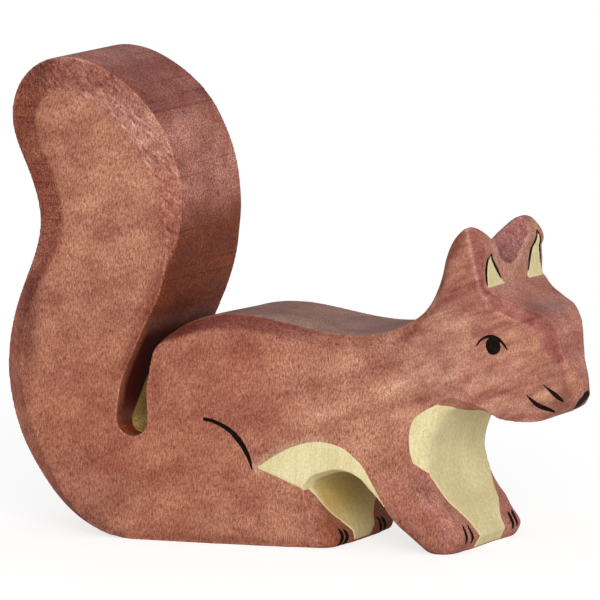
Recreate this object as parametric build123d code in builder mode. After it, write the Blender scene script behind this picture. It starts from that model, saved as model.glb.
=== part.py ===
from build123d import *
import os

# A squirrel sawn from one board, bevelled by hand, with paint fields and brush strokes on its surface.
# Millimetres. +X runs from tail to nose, +Z is up, and the board's thickness lies along Y.
# The origin is on the floor under the middle of the board's length and thickness.

# Board and finish
board_thickness = 25.0
bevel_depth = 2.0
paint_thickness = 0.25
paint_floor = 0.5

# Tail, from the rump upward
rump_reach = 47.8
rump_height = 26.0
waist_rise = 23.5
swell_rise = 16.4
crown_rise = 9.9
waist_setback = 6.4
swell_setback = 1.9
crown_setback = 11.3
tail_width = 31.2

# Saw slot between tail and back, ending in a drilled hole
slot_hole_radius = 2.75
slot_hole_height = 19.2
slot_lean = 8.7
slot_shoulder = 13.6

# Back and head
back_height = 36.1
back_top_x = -5.5
saddle_height = 33.6
saddle_x = 14.0
jaw_height = 21.1
face_height = 20.7
ear_length = 9.2
ear_depth = 7.2
ear_front = 35.6
head_length = 12.2
jaw_length = 17.6
throat_rise = 2.1
nose_rise = 4.2

# Ear notch, a groove along the board with a round bottom and sloping sides
ear_notch_radius = 5.4
ear_notch_rise = 2.6
ear_notch_slope = 46.0

# Cheeks and muzzle, as seen from above
cheek_start = 31.2
cheek_bulge = 1.15
muzzle_half_width = 4.3
muzzle_round = 2.2

# Legs and the arch between them
chest_hollow_x = 25.1
chest_hollow_height = 13.4
front_toe = 30.8
front_sole = 3.5
hind_toe = 8.7
instep_height = 9.4
instep_setback = 3.8
arch_height = 12.5
toe_round = 1.4
toe_height = 2.0
heel_x = -29.0

# Bevel widths on the flat sides
tail_bevel = 4.8
rump_bevel = 3.0
back_bevel = 2.0
head_bevel = 1.6
leg_bevel = 1.8
arch_bevel = 0.5

# Paint fields
belly_lift = 4.6
belly_reach = 8.2
hind_foot_width = 7.5
hind_foot_top = 2.4
front_foot_width = 7.0
front_foot_top = 4.6
foot_flare = 0.9
chest_field_depth = 2.3
chest_field_rise = 9.8
chest_floor = 1.3
ear_paint_rise = 5.9
ear_paint_width = 5.2
ear_paint_middle = 7.2
ear_apex_lean = 1.4

# Brush strokes: where they lie and how wide they swell
stroke_width = 0.6
haunch_start = (-12.9, 19.8)
haunch_middle = (-6.9, 17.3)
haunch_end = (-4.2, 12.0)
haunch_width = 0.8
eye_setback = 11.1
eye_drop = 8.9
eye_half_width = 1.05
eye_half_height = 1.35
lid_half_length = 2.3
upper_whisker = (4.4, 5.6)
lower_whisker = (6.5, 4.1)
whisker_run = 3.0
whisker_fall = 2.8
claw_spacing = 1.4
claw_length = 2.1
claw_width = 0.5
claw_bow = 0.1
hind_claw_inset = 5.6
front_claw_inset = 4.5
front_claw_rise = 1.3
nose_half_width = 2.1
nose_patch_height = 2.8


def blend(first, last, part):
    """Return the value that lies a part of the way from first to last."""
    return first + (last - first) * part


# Worked out from the sizes above
half_thickness = board_thickness / 2
tail_waist_height = rump_height + waist_rise
tail_swell_height = tail_waist_height + swell_rise
tail_height = tail_swell_height + crown_rise
tail_front_x = tail_width - rump_reach
slot_hole_x = tail_front_x - slot_lean
brow_height = jaw_height + face_height
ear_height = brow_height + ear_length
nose_reach = ear_front + head_length
throat_x = nose_reach - jaw_length
throat_height = jaw_height + throat_rise
front_heel = front_toe - toe_round - front_sole
arch_x = blend(hind_toe, front_heel, 0.17)
instep_x = hind_toe - instep_setback

# The outline, clockwise from the heel, as stations of (forward, up, bevel width).
# Each stretch ends where the next one starts.
outline = [
    # rump, back of the tail, tail tip, front of the tail down to the slot
    (Spline, [
        (heel_x, 0.0, 0.0),
        (blend(heel_x, -rump_reach, 0.43), rump_height * 0.13, rump_bevel / 2),
        (blend(heel_x, -rump_reach, 0.77), rump_height * 0.42, rump_bevel),
        (-rump_reach, rump_height, rump_bevel),
        (-rump_reach + waist_setback * 0.39, blend(rump_height, tail_waist_height, 0.51), rump_bevel),
        (-rump_reach + waist_setback, tail_waist_height, tail_bevel),
        (
            -rump_reach + blend(waist_setback, swell_setback, 0.47),
            blend(tail_waist_height, tail_swell_height, 0.54),
            tail_bevel,
        ),
        (-rump_reach + swell_setback, tail_swell_height, tail_bevel),
        (
            -rump_reach + blend(swell_setback, crown_setback, 0.3),
            blend(tail_swell_height, tail_height, 0.73),
            tail_bevel,
        ),
        (-rump_reach + crown_setback, tail_height, tail_bevel),
        (tail_front_x - tail_width * 0.38, tail_height - crown_rise * 0.24, tail_bevel),
        (tail_front_x - tail_width * 0.13, tail_height - crown_rise * 0.94, tail_bevel),
        (tail_front_x, blend(slot_hole_height, tail_height, 0.64), rump_bevel),
        (tail_front_x - slot_lean * 0.115, blend(slot_hole_height, tail_height, 0.47), rump_bevel / 4),
        (tail_front_x - slot_lean * 0.68, blend(slot_hole_height, tail_height, 0.247), 0.0),
        (tail_front_x - slot_lean * 1.17, blend(slot_hole_height, tail_height, 0.088), 0.0),
    ]),
    (ThreePointArc, [
        (slot_hole_x - slot_hole_radius, slot_hole_height, 0.0),
        (slot_hole_x, slot_hole_height - slot_hole_radius, 0.0),
    ]),
    # shoulder of the slot, back, neck, ear
    (Spline, [
        (slot_hole_x + slot_hole_radius, slot_hole_height, 0.0),
        (slot_hole_x + slot_lean * 0.3, slot_hole_height + slot_shoulder * 0.39, 0.0),
        (slot_hole_x + slot_lean * 0.46, slot_hole_height + slot_shoulder * 0.76, 0.0),
        (slot_hole_x + slot_lean * 0.78, slot_hole_height + slot_shoulder, back_bevel / 2),
        (back_top_x, back_height, back_bevel),
        (saddle_x, saddle_height, back_bevel),
        (ear_front - ear_depth * 1.4, brow_height - face_height * 0.17, back_bevel),
        (ear_front - ear_depth, brow_height + ear_length * 0.26, head_bevel),
        (ear_front - ear_depth * 0.71, brow_height + ear_length * 0.81, head_bevel),
        (ear_front - ear_depth * 0.33, ear_height, head_bevel),
        (ear_front - ear_depth * 0.03, brow_height + ear_length * 0.82, head_bevel),
    ]),
    (Line, [(ear_front, brow_height + ear_length * 0.46, head_bevel * 0.8)]),
    # forehead, muzzle, jaw
    (Spline, [
        (ear_front, brow_height, head_bevel * 0.6),
        (ear_front + head_length * 0.14, brow_height - face_height * 0.06, head_bevel),
        (ear_front + head_length * 0.34, brow_height - face_height * 0.125, head_bevel),
        (ear_front + head_length * 0.64, brow_height - face_height * 0.23, head_bevel),
        (ear_front + head_length * 0.82, blend(jaw_height, brow_height, 0.5), head_bevel),
        (nose_reach, jaw_height + nose_rise, head_bevel),
        (nose_reach - jaw_length * 0.15, jaw_height + nose_rise * 0.12, head_bevel),
        (nose_reach - jaw_length * 0.37, jaw_height, head_bevel),
        (nose_reach - jaw_length * 0.63, jaw_height + throat_rise * 0.57, head_bevel),
    ]),
    # chest and front leg
    (ThreePointArc, [
        (throat_x, throat_height, head_bevel),
        (blend(chest_hollow_x, throat_x, 0.3), blend(chest_hollow_height, throat_height, 0.56), leg_bevel),
    ]),
    (ThreePointArc, [
        (chest_hollow_x, chest_hollow_height, leg_bevel),
        (blend(chest_hollow_x, front_toe, 0.17), blend(toe_height, chest_hollow_height, 0.7), leg_bevel),
    ]),
    (Line, [
        (blend(chest_hollow_x, front_toe, 0.58), blend(toe_height, chest_hollow_height, 0.4), leg_bevel),
    ]),
    (Line, [(front_toe, toe_height, leg_bevel)]),
    (Line, [(front_toe - toe_round, 0.0, arch_bevel)]),
    # back of the front leg, arch under the belly
    (ThreePointArc, [
        (front_heel, 0.0, arch_bevel),
        (blend(front_heel, arch_x, 0.43), arch_height * 0.42, arch_bevel),
    ]),
    (ThreePointArc, [
        (blend(front_heel, arch_x, 0.8), arch_height * 0.9, arch_bevel),
        (arch_x, arch_height, arch_bevel),
    ]),
    # instep and toes of the hind foot
    (Line, [(instep_x, instep_height, arch_bevel)]),
    (Line, [(hind_toe, toe_height, leg_bevel)]),
    (Line, [(hind_toe - toe_round / 2, 0.0, arch_bevel)]),
]


def moved_outline(grow, bevelled):
    """Return the curves of the outline, grown outward and, on the flat sides, drawn in by the bevels."""
    loop = [Vector(x, z) for _, stations in outline for x, z, _ in stations]
    widths = [bevel for _, stations in outline for _, _, bevel in stations]
    points = []
    for i, point in enumerate(loop):
        before = (point - loop[i - 1]).normalized()
        after = (loop[(i + 1) % len(loop)] - point).normalized()
        inward_before = Vector(before.Y, -before.X)
        inward_after = Vector(after.Y, -after.X)
        miter = (inward_before + inward_after) / (1 + inward_before.dot(inward_after))
        inset = (widths[i] if bevelled else 0.0) - grow
        points.append(point + miter * inset)
    points.append(points[0])
    curves = []
    first = 0
    for curve, stations in outline:
        last = first + len(stations)
        curves.append((curve, points[first:last + 1]))
        first = last
    return curves


def carved_figure(grow):
    """Saw and carve the whole figure, with every surface moved outward by grow."""
    face = half_thickness + grow
    shoulder = face - bevel_depth
    with BuildPart() as figure:
        for level, bevelled in ((face, True), (shoulder, False), (-shoulder, False), (-face, True)):
            with BuildSketch(Plane.XZ.offset(level)):
                with BuildLine():
                    for curve, points in moved_outline(grow, bevelled):
                        curve(*points)
                make_face()
        loft(ruled=True)
        # groove that parts the two ears
        with BuildSketch(Plane.YZ.offset(ear_front - 2 * ear_depth)):
            with BuildLine():
                middle = (0, brow_height + ear_notch_rise + ear_notch_radius)
                radius = ear_notch_radius - grow
                bottom = CenterArc(middle, radius, 270 - ear_notch_slope, 2 * ear_notch_slope)
                left = PolarLine(bottom @ 0, board_thickness, 180 - ear_notch_slope)
                right = PolarLine(bottom @ 1, board_thickness, ear_notch_slope)
                Line(left @ 1, right @ 1)
            make_face()
        extrude(amount=4 * ear_depth, mode=Mode.SUBTRACT)
        # cheeks and muzzle, carved round as seen from above
        with BuildSketch(Plane.XY.offset(jaw_height - bevel_depth)):
            with BuildLine():
                tip = (nose_reach + grow, 0)
                corner = (nose_reach - muzzle_round + grow, muzzle_half_width + grow)
                TangentArc(tip, corner, tangent=(0, 1))
                cheek = SagittaArc((cheek_start, face), corner, cheek_bulge)
                behind = Line(cheek @ 0, cheek @ 0 - (cheek % 0) * half_thickness)
                Polyline(
                    tip,
                    (nose_reach + half_thickness, 0),
                    (nose_reach + half_thickness, board_thickness),
                    ((behind @ 1).X, board_thickness),
                    behind @ 1,
                )
            make_face()
            mirror(about=Plane.XZ)
        extrude(amount=tail_height, mode=Mode.SUBTRACT)
    return figure.part


def brush_stroke(start, middle, end, width):
    """Draw a stroke that swells to its full width in the middle, in the sketch that is open."""
    along = (Vector(*end) - Vector(*start)).normalized()
    aside = Vector(-along.Y, along.X) * width / 2
    with BuildLine() as rim:
        ThreePointArc(start, Vector(*middle) + aside, end)
        ThreePointArc(end, Vector(*middle) - aside, start)
    make_face(rim.edges())


def feet_field(top, foot_width, foot_top, low):
    """Draw the field on a front wall between two painted feet, in the YZ sketch that is open."""
    sole_half_width = half_thickness - foot_width - foot_flare
    with BuildLine() as rim:
        Polyline(
            (0, top),
            (half_thickness, top),
            (half_thickness - foot_width, foot_top),
            (sole_half_width, low),
            (0, low),
        )
        mirror(about=Plane.YZ)
    make_face(rim.edges())


def trim_to_coat():
    """Keep only the coat of paint on the wood from the columns made so far in the open part."""
    add(painted_figure, mode=Mode.INTERSECT)
    add(wood_body.part, mode=Mode.SUBTRACT)


def hand_in(piece, name):
    """Name a finished piece and write it."""
    piece.label = name
    export_step(piece, f"parts/{name}.step")


os.makedirs("parts", exist_ok=True)

# The sawn and carved wood
with BuildPart() as wood_body:
    add(carved_figure(0.0))
hand_in(wood_body.part, "wood_body")

painted_figure = carved_figure(paint_thickness)

# Belly field: both flanks over the arch, the arch itself and the front of the hind foot
with BuildPart() as belly_paint:
    with BuildSketch(Plane.XZ):
        with BuildLine():
            tip = (instep_x - belly_reach, instep_height + belly_lift * 0.6)
            end = (blend(arch_x, front_heel, 0.46), arch_height * 0.46)
            Spline(
                tip,
                (blend(instep_x, arch_x, -0.4), arch_height + belly_lift * 0.65),
                (blend(instep_x, arch_x, 0.4), arch_height + belly_lift),
                (arch_x + (arch_x - instep_x) * 0.17, arch_height + belly_lift * 0.63),
                (blend(arch_x, front_heel, 0.27), arch_height),
                end,
            )
            Polyline(
                end,
                (instep_x + paint_thickness * 4, instep_height * 0.9),
                (instep_x, instep_height),
                tip,
            )
        make_face()
    extrude(amount=board_thickness, both=True)
    with BuildSketch(Plane.YZ.offset(instep_x - bevel_depth)):
        feet_field(instep_height, hind_foot_width, hind_foot_top, paint_floor)
    extrude(amount=2 * bevel_depth + instep_setback)
    trim_to_coat()
hand_in(belly_paint.part, "belly_paint")

# Chest field: both sides of the chest and the front wall between the front legs
with BuildPart() as chest_paint:
    with BuildSketch(Plane.XZ):
        with BuildLine():
            field_foot = chest_hollow_height - bevel_depth / 2
            field_back = chest_hollow_x - chest_field_depth
            top = (throat_x, throat_height + paint_thickness)
            foot = (chest_hollow_x + bevel_depth, field_foot)
            Spline(
                top,
                (blend(field_back, throat_x, 0.29), field_foot + chest_field_rise),
                (field_back, field_foot + chest_field_rise * 0.46),
                (blend(field_back, chest_hollow_x, 0.65), field_foot + chest_field_rise * 0.13),
                foot,
            )
            Line(foot, top)
        make_face()
    extrude(amount=board_thickness, both=True)
    with BuildSketch(Plane.YZ.offset(chest_hollow_x - 2 * paint_thickness)):
        feet_field(chest_hollow_height, front_foot_width, front_foot_top, chest_floor)
    extrude(amount=front_toe - chest_hollow_x + 2 * bevel_depth)
    trim_to_coat()
hand_in(chest_paint.part, "chest_paint")

# Nose, on the tip of the muzzle
with BuildPart() as nose_paint:
    with BuildSketch(Plane.YZ.offset(nose_reach - head_length * 0.3)):
        nose_top = jaw_height + nose_rise - paint_thickness
        with BuildLine():
            ThreePointArc(
                (nose_half_width, nose_top - nose_patch_height * 0.8),
                (0, nose_top),
                (-nose_half_width, nose_top - nose_patch_height * 0.8),
            )
            ThreePointArc(
                (-nose_half_width, nose_top - nose_patch_height * 0.8),
                (0, nose_top - nose_patch_height),
                (nose_half_width, nose_top - nose_patch_height * 0.8),
            )
        make_face()
    extrude(amount=head_length)
    trim_to_coat()
hand_in(nose_paint.part, "nose_paint")

# Marks that come in pairs. The right side of the figure faces -Y, where Plane.XZ faces too.
for side, hand in (("right", -1), ("left", 1)):
    outward = -hand * board_thickness

    # line along the top of the haunch
    with BuildPart() as haunch_line:
        with BuildSketch(Plane.XZ):
            brush_stroke(haunch_start, haunch_middle, haunch_end, haunch_width)
        extrude(amount=outward)
        trim_to_coat()
    hand_in(haunch_line.part, f"haunch_line_{side}")

    # eye: pupil and upper lid
    with BuildPart() as eye:
        with BuildSketch(Plane.XZ):
            eye_x = nose_reach - eye_setback
            eye_z = brow_height - eye_drop
            with Locations((eye_x, eye_z)):
                Ellipse(eye_half_width, eye_half_height)
            brush_stroke(
                (eye_x - lid_half_length, eye_z - stroke_width / 3),
                (eye_x, eye_z + eye_half_height),
                (eye_x + lid_half_length, eye_z - stroke_width),
                stroke_width,
            )
        extrude(amount=outward)
        trim_to_coat()
    hand_in(eye.part, f"eye_{side}")

    # two whiskers beside the mouth
    with BuildPart() as whiskers:
        with BuildSketch(Plane.XZ):
            for setback, rise in (upper_whisker, lower_whisker):
                whisker_x = nose_reach - setback
                whisker_z = jaw_height + rise
                brush_stroke(
                    (whisker_x, whisker_z),
                    (whisker_x + whisker_run * 0.43, whisker_z - whisker_fall * 0.54),
                    (whisker_x + whisker_run, whisker_z - whisker_fall),
                    stroke_width,
                )
        extrude(amount=outward)
        trim_to_coat()
    hand_in(whiskers.part, f"whisker_lines_{side}")

    # black outline over the inner ear
    apex = (hand * (ear_paint_middle + ear_apex_lean), brow_height + ear_paint_rise)
    outer_foot = (hand * (ear_paint_middle + ear_paint_width / 2), brow_height + paint_thickness)
    inner_foot = (hand * (ear_paint_middle - ear_paint_width / 2), brow_height + paint_thickness)
    with BuildPart() as ear_outline:
        with BuildSketch(Plane.YZ.offset(ear_front - bevel_depth)):
            brush_stroke(
                apex,
                (outer_foot[0], blend(outer_foot[1], apex[1], 0.5)),
                outer_foot,
                stroke_width,
            )
            brush_stroke(
                apex,
                (blend(inner_foot[0], apex[0], 0.55), blend(inner_foot[1], apex[1], 0.6)),
                (blend(inner_foot[0], apex[0], 0.1), blend(inner_foot[1], apex[1], 0.2)),
                stroke_width,
            )
        extrude(amount=2 * bevel_depth)
        trim_to_coat()
    hand_in(ear_outline.part, f"ear_outline_{side}")

    # pale inner ear
    with BuildPart() as ear_paint:
        with BuildSketch(Plane.YZ.offset(ear_front - bevel_depth)):
            with BuildLine():
                Polyline(apex, outer_foot, inner_foot, close=True)
            make_face()
        extrude(amount=2 * bevel_depth)
        trim_to_coat()
        add(ear_outline.part, mode=Mode.SUBTRACT)
    hand_in(ear_paint.part, f"ear_paint_{side}")

    # pairs of claws on the hind foot and on the front foot
    for foot, toe_x, middle, low in (
        ("hind", hind_toe, half_thickness - hind_claw_inset, paint_floor),
        ("front", front_toe, half_thickness - front_claw_inset, paint_floor + front_claw_rise),
    ):
        with BuildPart() as claws:
            with BuildSketch(Plane.YZ.offset(toe_x - 2 * bevel_depth)):
                for claw_y in (middle - claw_spacing / 2, middle + claw_spacing / 2):
                    brush_stroke(
                        (hand * claw_y, low + claw_length),
                        (hand * (claw_y - claw_bow), low + claw_length / 2),
                        (hand * claw_y, low),
                        claw_width,
                    )
            extrude(amount=4 * bevel_depth)
            trim_to_coat()
        hand_in(claws.part, f"claws_{foot}_{side}")
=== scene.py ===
import math

import bpy
import numpy as np
from mathutils import Matrix, Vector, noise
from mathutils.bvhtree import BVHTree


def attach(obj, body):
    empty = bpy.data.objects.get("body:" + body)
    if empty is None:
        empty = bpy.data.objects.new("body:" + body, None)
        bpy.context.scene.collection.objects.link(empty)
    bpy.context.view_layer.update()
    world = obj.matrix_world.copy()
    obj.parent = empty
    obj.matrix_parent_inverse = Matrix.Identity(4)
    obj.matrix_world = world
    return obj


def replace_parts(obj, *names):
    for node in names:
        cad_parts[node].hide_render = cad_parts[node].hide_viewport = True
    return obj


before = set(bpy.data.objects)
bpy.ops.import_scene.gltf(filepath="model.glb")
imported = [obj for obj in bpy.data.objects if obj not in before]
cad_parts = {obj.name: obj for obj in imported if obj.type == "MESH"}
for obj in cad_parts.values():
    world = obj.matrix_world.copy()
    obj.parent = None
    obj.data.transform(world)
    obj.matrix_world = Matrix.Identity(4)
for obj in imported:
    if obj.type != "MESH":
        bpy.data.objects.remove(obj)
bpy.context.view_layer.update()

# Scene units are metres; shapes below are written in millimetres.
# +X runs from tail to nose, -Y is the side that faces the camera, +Z is up.
MM = 0.001
wood_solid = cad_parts["wood_body"]
half_thickness = max(v.co.y for v in wood_solid.data.vertices) / MM

# Camera, as fitted to the photograph
camera_azimuth = 26.547
camera_elevation = 7.335
camera_roll = -1.362
camera_distance = 1254.275
camera_aim = (-1.5, 0.0, 37.2336)
camera_lens = 480.0
sensor_width = 36.0

# Light and floor
sky_strength = 0.42
key_strength = 2.4
key_azimuth = 35.0
key_elevation = 12.0
key_softness = 40.0
floor_glow = 0.72
floor_half_metres = 6.0

# Wood surface: how fine and how round it is
voxel = 0.25
edge_rounds = 8
toe_rounds = 80
bevel_spread = 14

# What a file and sandpaper changed
sole_band = 1.2
sole_lift = 0.3
far_back_drop = 0.55
brow_band = 2.1
brow_inset = 0.5
cheek_swell = 0.4
notch_shift = 0.9
heel_swell = 0.8
rump_lift = 0.5
arch_drop = 0.5
tail_side_widening = 0.45
back_side_widening = 0.35
shoulder_place = (-20.1, 31.3)
shoulder_reach = 2.0
shoulder_push = (-0.28, 0.3)
toe_reach = 0.8
chin_drop = 0.4
throat_fill = 0.7
tail_swell = 0.3
far_ear_drop = 0.4

# Where the forehead runs down to the muzzle, as (forward, up), and how wide the head is there
brow_line = [(35.6, 41.8), (37.3, 40.56), (39.75, 39.2), (43.4, 37.04), (44.6, 34.5), (45.6, 31.45)]
head_stations = [31.2, 36.0, 40.0, 43.4, 45.6, 47.8]
head_half_widths = [half_thickness, 10.9, 8.8, 6.3, 4.3, 2.0]

# How far the line of forehead and nose stands forward of the sawn one, by height
profile_heights = [20.4, 21.5, 22.6, 24, 26.5, 28.5, 29.5, 31.5, 33.5, 35, 37.5, 38.5, 39.5, 42.5, 44]
profile_shifts = [-1.0, -1.7, -0.7, -0.2, -0.35, -0.7, -0.7, -0.2, 0.2, 0.35, 0.1, -0.5, -0.65, -0.35, 0]

# The middle of the slot, and how far bare wood reaches in it from the middle of the board, by height
slot_heights = [19, 24, 31, 36]
slot_middles = [-24.6, -24, -22, -20]
bare_heights = [16.5, 19.5, 23, 25]
bare_reaches = [8.6, 6.4, 4.2, 3.2]

# Lines that show on both sides of the head, as (forward, up): the crest of the ear's and brow's bevel, along
# which a highlight is painted, whose first points from the top are the ear's, and the dark stain smeared down
# the corner of the muzzle, which also stands in for the corner's shade
crest_line = [
    (32.8, 50.8), (33.75, 48.5), (34.05, 46.1), (34.55, 43.8), (34.85, 41.7), (35.3, 40.6), (36.75, 38.75),
    (39.25, 36.85), (42.3, 34.8), (43.4, 33.4),
]
ear_crest_points = 6
crest_half_width = 0.26
smear_line = [(43.8, 35.4), (44.25, 33.85), (44.6, 31.5), (44.9, 29.9), (45.25, 28.3), (45.8, 25.5)]
smear_heights = [25, 30, 33, 35.5]
smear_half_widths = [0.3, 0.4, 0.65, 0.85]

# How much lighter the groove between the ears is, by height
groove_heights = [44, 46.5, 50]
groove_lightness = [-0.1, 0, 0.3]

# Chips on the near side, where pale wood shows: forward, up, reach
chips = [(-27.4, 24.9, 0.35), (12.0, 33.6, 0.3)]

# Stain colours, linear; among them are painted shade and sheen
face_brown = (0.465, 0.195, 0.121)
bevel_brown = (0.35, 0.112, 0.071)
bevel_top_brown = (0.285, 0.098, 0.070)
back_edge_brown = (0.192, 0.047, 0.035)
tail_back_brown = (0.295, 0.083, 0.047)
tail_front_brown = (0.362, 0.129, 0.082)
tail_front_top_brown = (0.43, 0.186, 0.135)
wall_brown = (0.47, 0.185, 0.136)
tail_crown_brown = (0.31, 0.100, 0.077)
tail_tip_brown = (0.42, 0.165, 0.130)
tail_shade_brown = (0.23, 0.055, 0.026)
# a greyer tone painted on the up-facing top of the back, standing in for its sheen
back_sheen_grey = (0.39, 0.21, 0.17)
forehead_mauve = (0.475, 0.203, 0.163)
# painted shade on the forehead
forehead_shade_grey = (0.31, 0.140, 0.118)
band_red = (0.40, 0.145, 0.112)
ear_red = (0.315, 0.107, 0.080)
leg_edge_brown = (0.44, 0.172, 0.124)
# painted shade on the front of the hind toes, in the hollow under the arch
hind_toe_shade_brown = (0.32, 0.104, 0.058)
# painted shade: the walls of the narrow slot near black
slot_shade_brown = (0.070, 0.004, 0.001)
slot_floor_brown = (0.24, 0.036, 0.006)
slot_rim_brown = (0.25, 0.075, 0.034)
bare_wood = (0.66, 0.44, 0.15)
ear_tan = (0.54, 0.26, 0.18)
groove_pink = (0.37, 0.148, 0.130)
# also a painted highlight along the crest of the ear's and brow's bevel
rim_pink = (0.62, 0.31, 0.235)
pale_bleed = (0.72, 0.50, 0.34)
# dark stain along the muzzle's corner and the brow's edge, which also stands in for their shade
smear_and_edge_shade_red = (0.27, 0.075, 0.055)

# Drifts of tone over the sides: (forward, up), (reach along, reach across), lean, tint
face_drifts = (
    ((-34.5, 20), (15, 15), 0, (0.80, 0.66, 0.62)),
    ((-18, 8), (12, 12), 0, (0.94, 0.87, 0.83)),
    ((-7, 27), (13, 13), 0, (0.82, 0.66, 0.66)),
    ((15, 24), (10, 10), 0, (1.13, 1.19, 1.22)),
    ((31, 31), (10, 10), 0, (1.00, 1.05, 1.17)),
    ((30, 46), (6, 6), 0, (0.76, 0.67, 0.70)),
    ((32.5, 41.5), (4, 2.6), 10, (0.74, 0.60, 0.64)),
    # painted light under the chin, as from the bright floor below
    ((40.2, 22.8), (3, 2), 0, (1.04, 1.16, 1.26)),
    ((24, 6), (8, 8), 0, (1.00, 0.95, 1.01)),
    ((-34, 5), (8, 8), 0, (0.80, 0.76, 0.80)),
    ((30.3, 35.7), (2.6, 1.8), 15, (1.08, 1.15, 1.17)),
    ((31.8, 27.6), (4, 2), 20, (1.07, 1.12, 1.14)),
    ((34.3, 30.0), (2.8, 1.1), 25, (0.78, 0.66, 0.68)),
    ((37.9, 25.8), (6.5, 0.9), 14, (0.70, 0.55, 0.58)),
    ((34.6, 24), (2.4, 2.2), 0, (0.86, 0.77, 0.79)),
    ((37.6, 29.3), (3, 1.1), 15, (1.10, 1.18, 1.17)),
    ((38.6, 26.9), (2.8, 0.9), 24, (1.10, 1.18, 1.18)),
    ((42.2, 32), (1.5, 1.2), 0, (1.12, 1.20, 1.18)),
    ((34.9, 36.1), (2, 1.3), 0, (1.22, 1.34, 1.34)),
    ((25.5, 34.3), (3, 2), 0, (1.07, 1.12, 1.14)),
    ((25.1, 28.1), (2.4, 1.8), 0, (1.18, 1.27, 1.28)),
    ((18, 25.2), (11, 1.3), 25, (1.10, 1.16, 1.16)),
    ((24, 24.3), (8, 1.0), 16, (0.86, 0.78, 0.80)),
    ((17, 28.6), (11, 1.0), 17, (0.88, 0.82, 0.83)),
    ((2.7, 26.1), (3.2, 1.8), 15, (1.18, 1.33, 1.38)),
    ((8.6, 21.2), (3, 2), 0, (1.18, 1.36, 1.38)),
    ((-28.5, 11.7), (4, 1.6), 8, (0.76, 0.60, 0.60)),
    ((-12.4, 3.7), (3, 1.6), 0, (1.25, 1.50, 1.50)),
    ((-25, 7), (3, 2), 0, (1.14, 1.26, 1.26)),
    ((-37, 25.6), (2.6, 2.6), 0, (1.14, 1.28, 1.34)),
)

# Drifts along the bevelled edges and on the paws, in the same form
edge_drifts = (
    ((-38.2, 59.5), (6.5, 1.3), -72, (0.78, 0.69, 0.67)),
    ((-42, 63), (5, 1.2), -72, (1.20, 1.36, 1.36)),
    ((-38.5, 68.6), (3.5, 1.6), 20, (0.75, 0.65, 0.63)),
    ((-40.8, 73.8), (4, 1.8), 38, (0.55, 0.46, 0.45)),
    ((-43.4, 31.5), (9, 1.8), 85, (0.52, 0.42, 0.45)),
    ((-43, 37), (5, 2.2), 75, (0.74, 0.70, 0.72)),
    ((-21, 37.5), (8, 1.7), 74, (0.60, 0.43, 0.40)),
    ((-20.9, 24.5), (4, 1.3), 90, (0.74, 0.58, 0.58)),
    ((-15.6, 33.4), (2.6, 1.2), 30, (0.82, 0.64, 0.60)),
    ((-25.1, 29.5), (6, 1.4), 71, (0.66, 0.54, 0.54)),
    ((-44.4, 15.5), (9, 2), -73, (1.12, 1.24, 1.22)),
    ((-46.2, 25), (6, 1.2), 90, (1.22, 1.32, 1.28)),
    ((-31.5, 2.1), (7, 1.1), -28, (0.72, 0.72, 0.74)),
    ((-12, 0.8), (20, 0.9), 0, (0.70, 0.63, 0.63)),
    ((5, 3.2), (2.6, 2.2), 0, (0.68, 0.60, 0.65)),
    ((20.6, 5.6), (3, 0.9), -50, (0.74, 0.70, 0.76)),
    ((25, 10), (2.4, 1.6), -50, (0.56, 0.49, 0.49)),
    ((27.8, 2.2), (4, 1.8), 0, (0.77, 0.72, 0.70)),
    # painted shade under the muzzle, near the nose
    ((45.2, 23.2), (3.2, 1.9), 30, (0.56, 0.52, 0.56)),
    ((44.4, 28.3), (1.7, 1.7), 0, (0.57, 0.49, 0.55)),
    ((31, 49.3), (1.8, 1.5), 0, (0.84, 0.70, 0.73)),
    ((20.8, 33), (3, 1.5), 20, (1.24, 1.38, 1.46)),
)

# Paint films: height over the wood, how far rims and undersides lie in it, and how far a cast reaches
film_lift = 0.05
rim_sink = 0.03
film_root = 0.12
cast_reach = 25.0

# Brush strokes: how uneven their edges are, and how narrow they may get
ripple = 0.06
ripple_scale = 1.1
ripple_stride = 7.31
other_edge = 50
least_half_width = 0.01

# How finely curves, sheets and strokes are divided
curve_steps = 24
stroke_columns = 7
arch_points = 56
haunch_points = 28
belly_front_points = 40
chest_points = 50
ear_points = 30

# Marks on the front are drawn as (across, up) on planes ahead of the wood and cast backward onto it
backward_cast = (-1, 0, 0)
hind_front = 13.0
chest_front = 34.0
front_leg_front = 36.0
ear_front = 39.0
nose_front = 60.0

# Half the width between the rails that carry the cream across the roof of the arch and the chest
rail_half_width = 10.5

# Belly: its top edge, its edge along the haunch and the arch, as (forward, up), and the sides of its front
belly_top = [
    (-3.44, 12.4), (-0.25, 14.51), (3.28, 16.17), (7.2, 16.97),
    (11.07, 16.28), (13.61, 14.55), (15.29, 12.67), (18.3, 7.4),
]
belly_haunch = [(-3.44, 12.35), (0.09, 10.99), (4.74, 9.16)]
belly_arch = [(4.74, 9.16), (8.0, 11.8), (11.6, 12.5), (14.5, 11.25), (16.4, 9.3), (18.4, 7.0)]
belly_front_near = [(-11.9, 10.2), (-8.83, 5.64), (-6.28, 3.53), (-4.83, 1.97), (-4.1, 0.25)]
belly_front_far = [(11.9, 10.2), (9.0, 5.9), (6.3, 4.2), (3.5, 2.2), (1.2, 0.25)]

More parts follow.
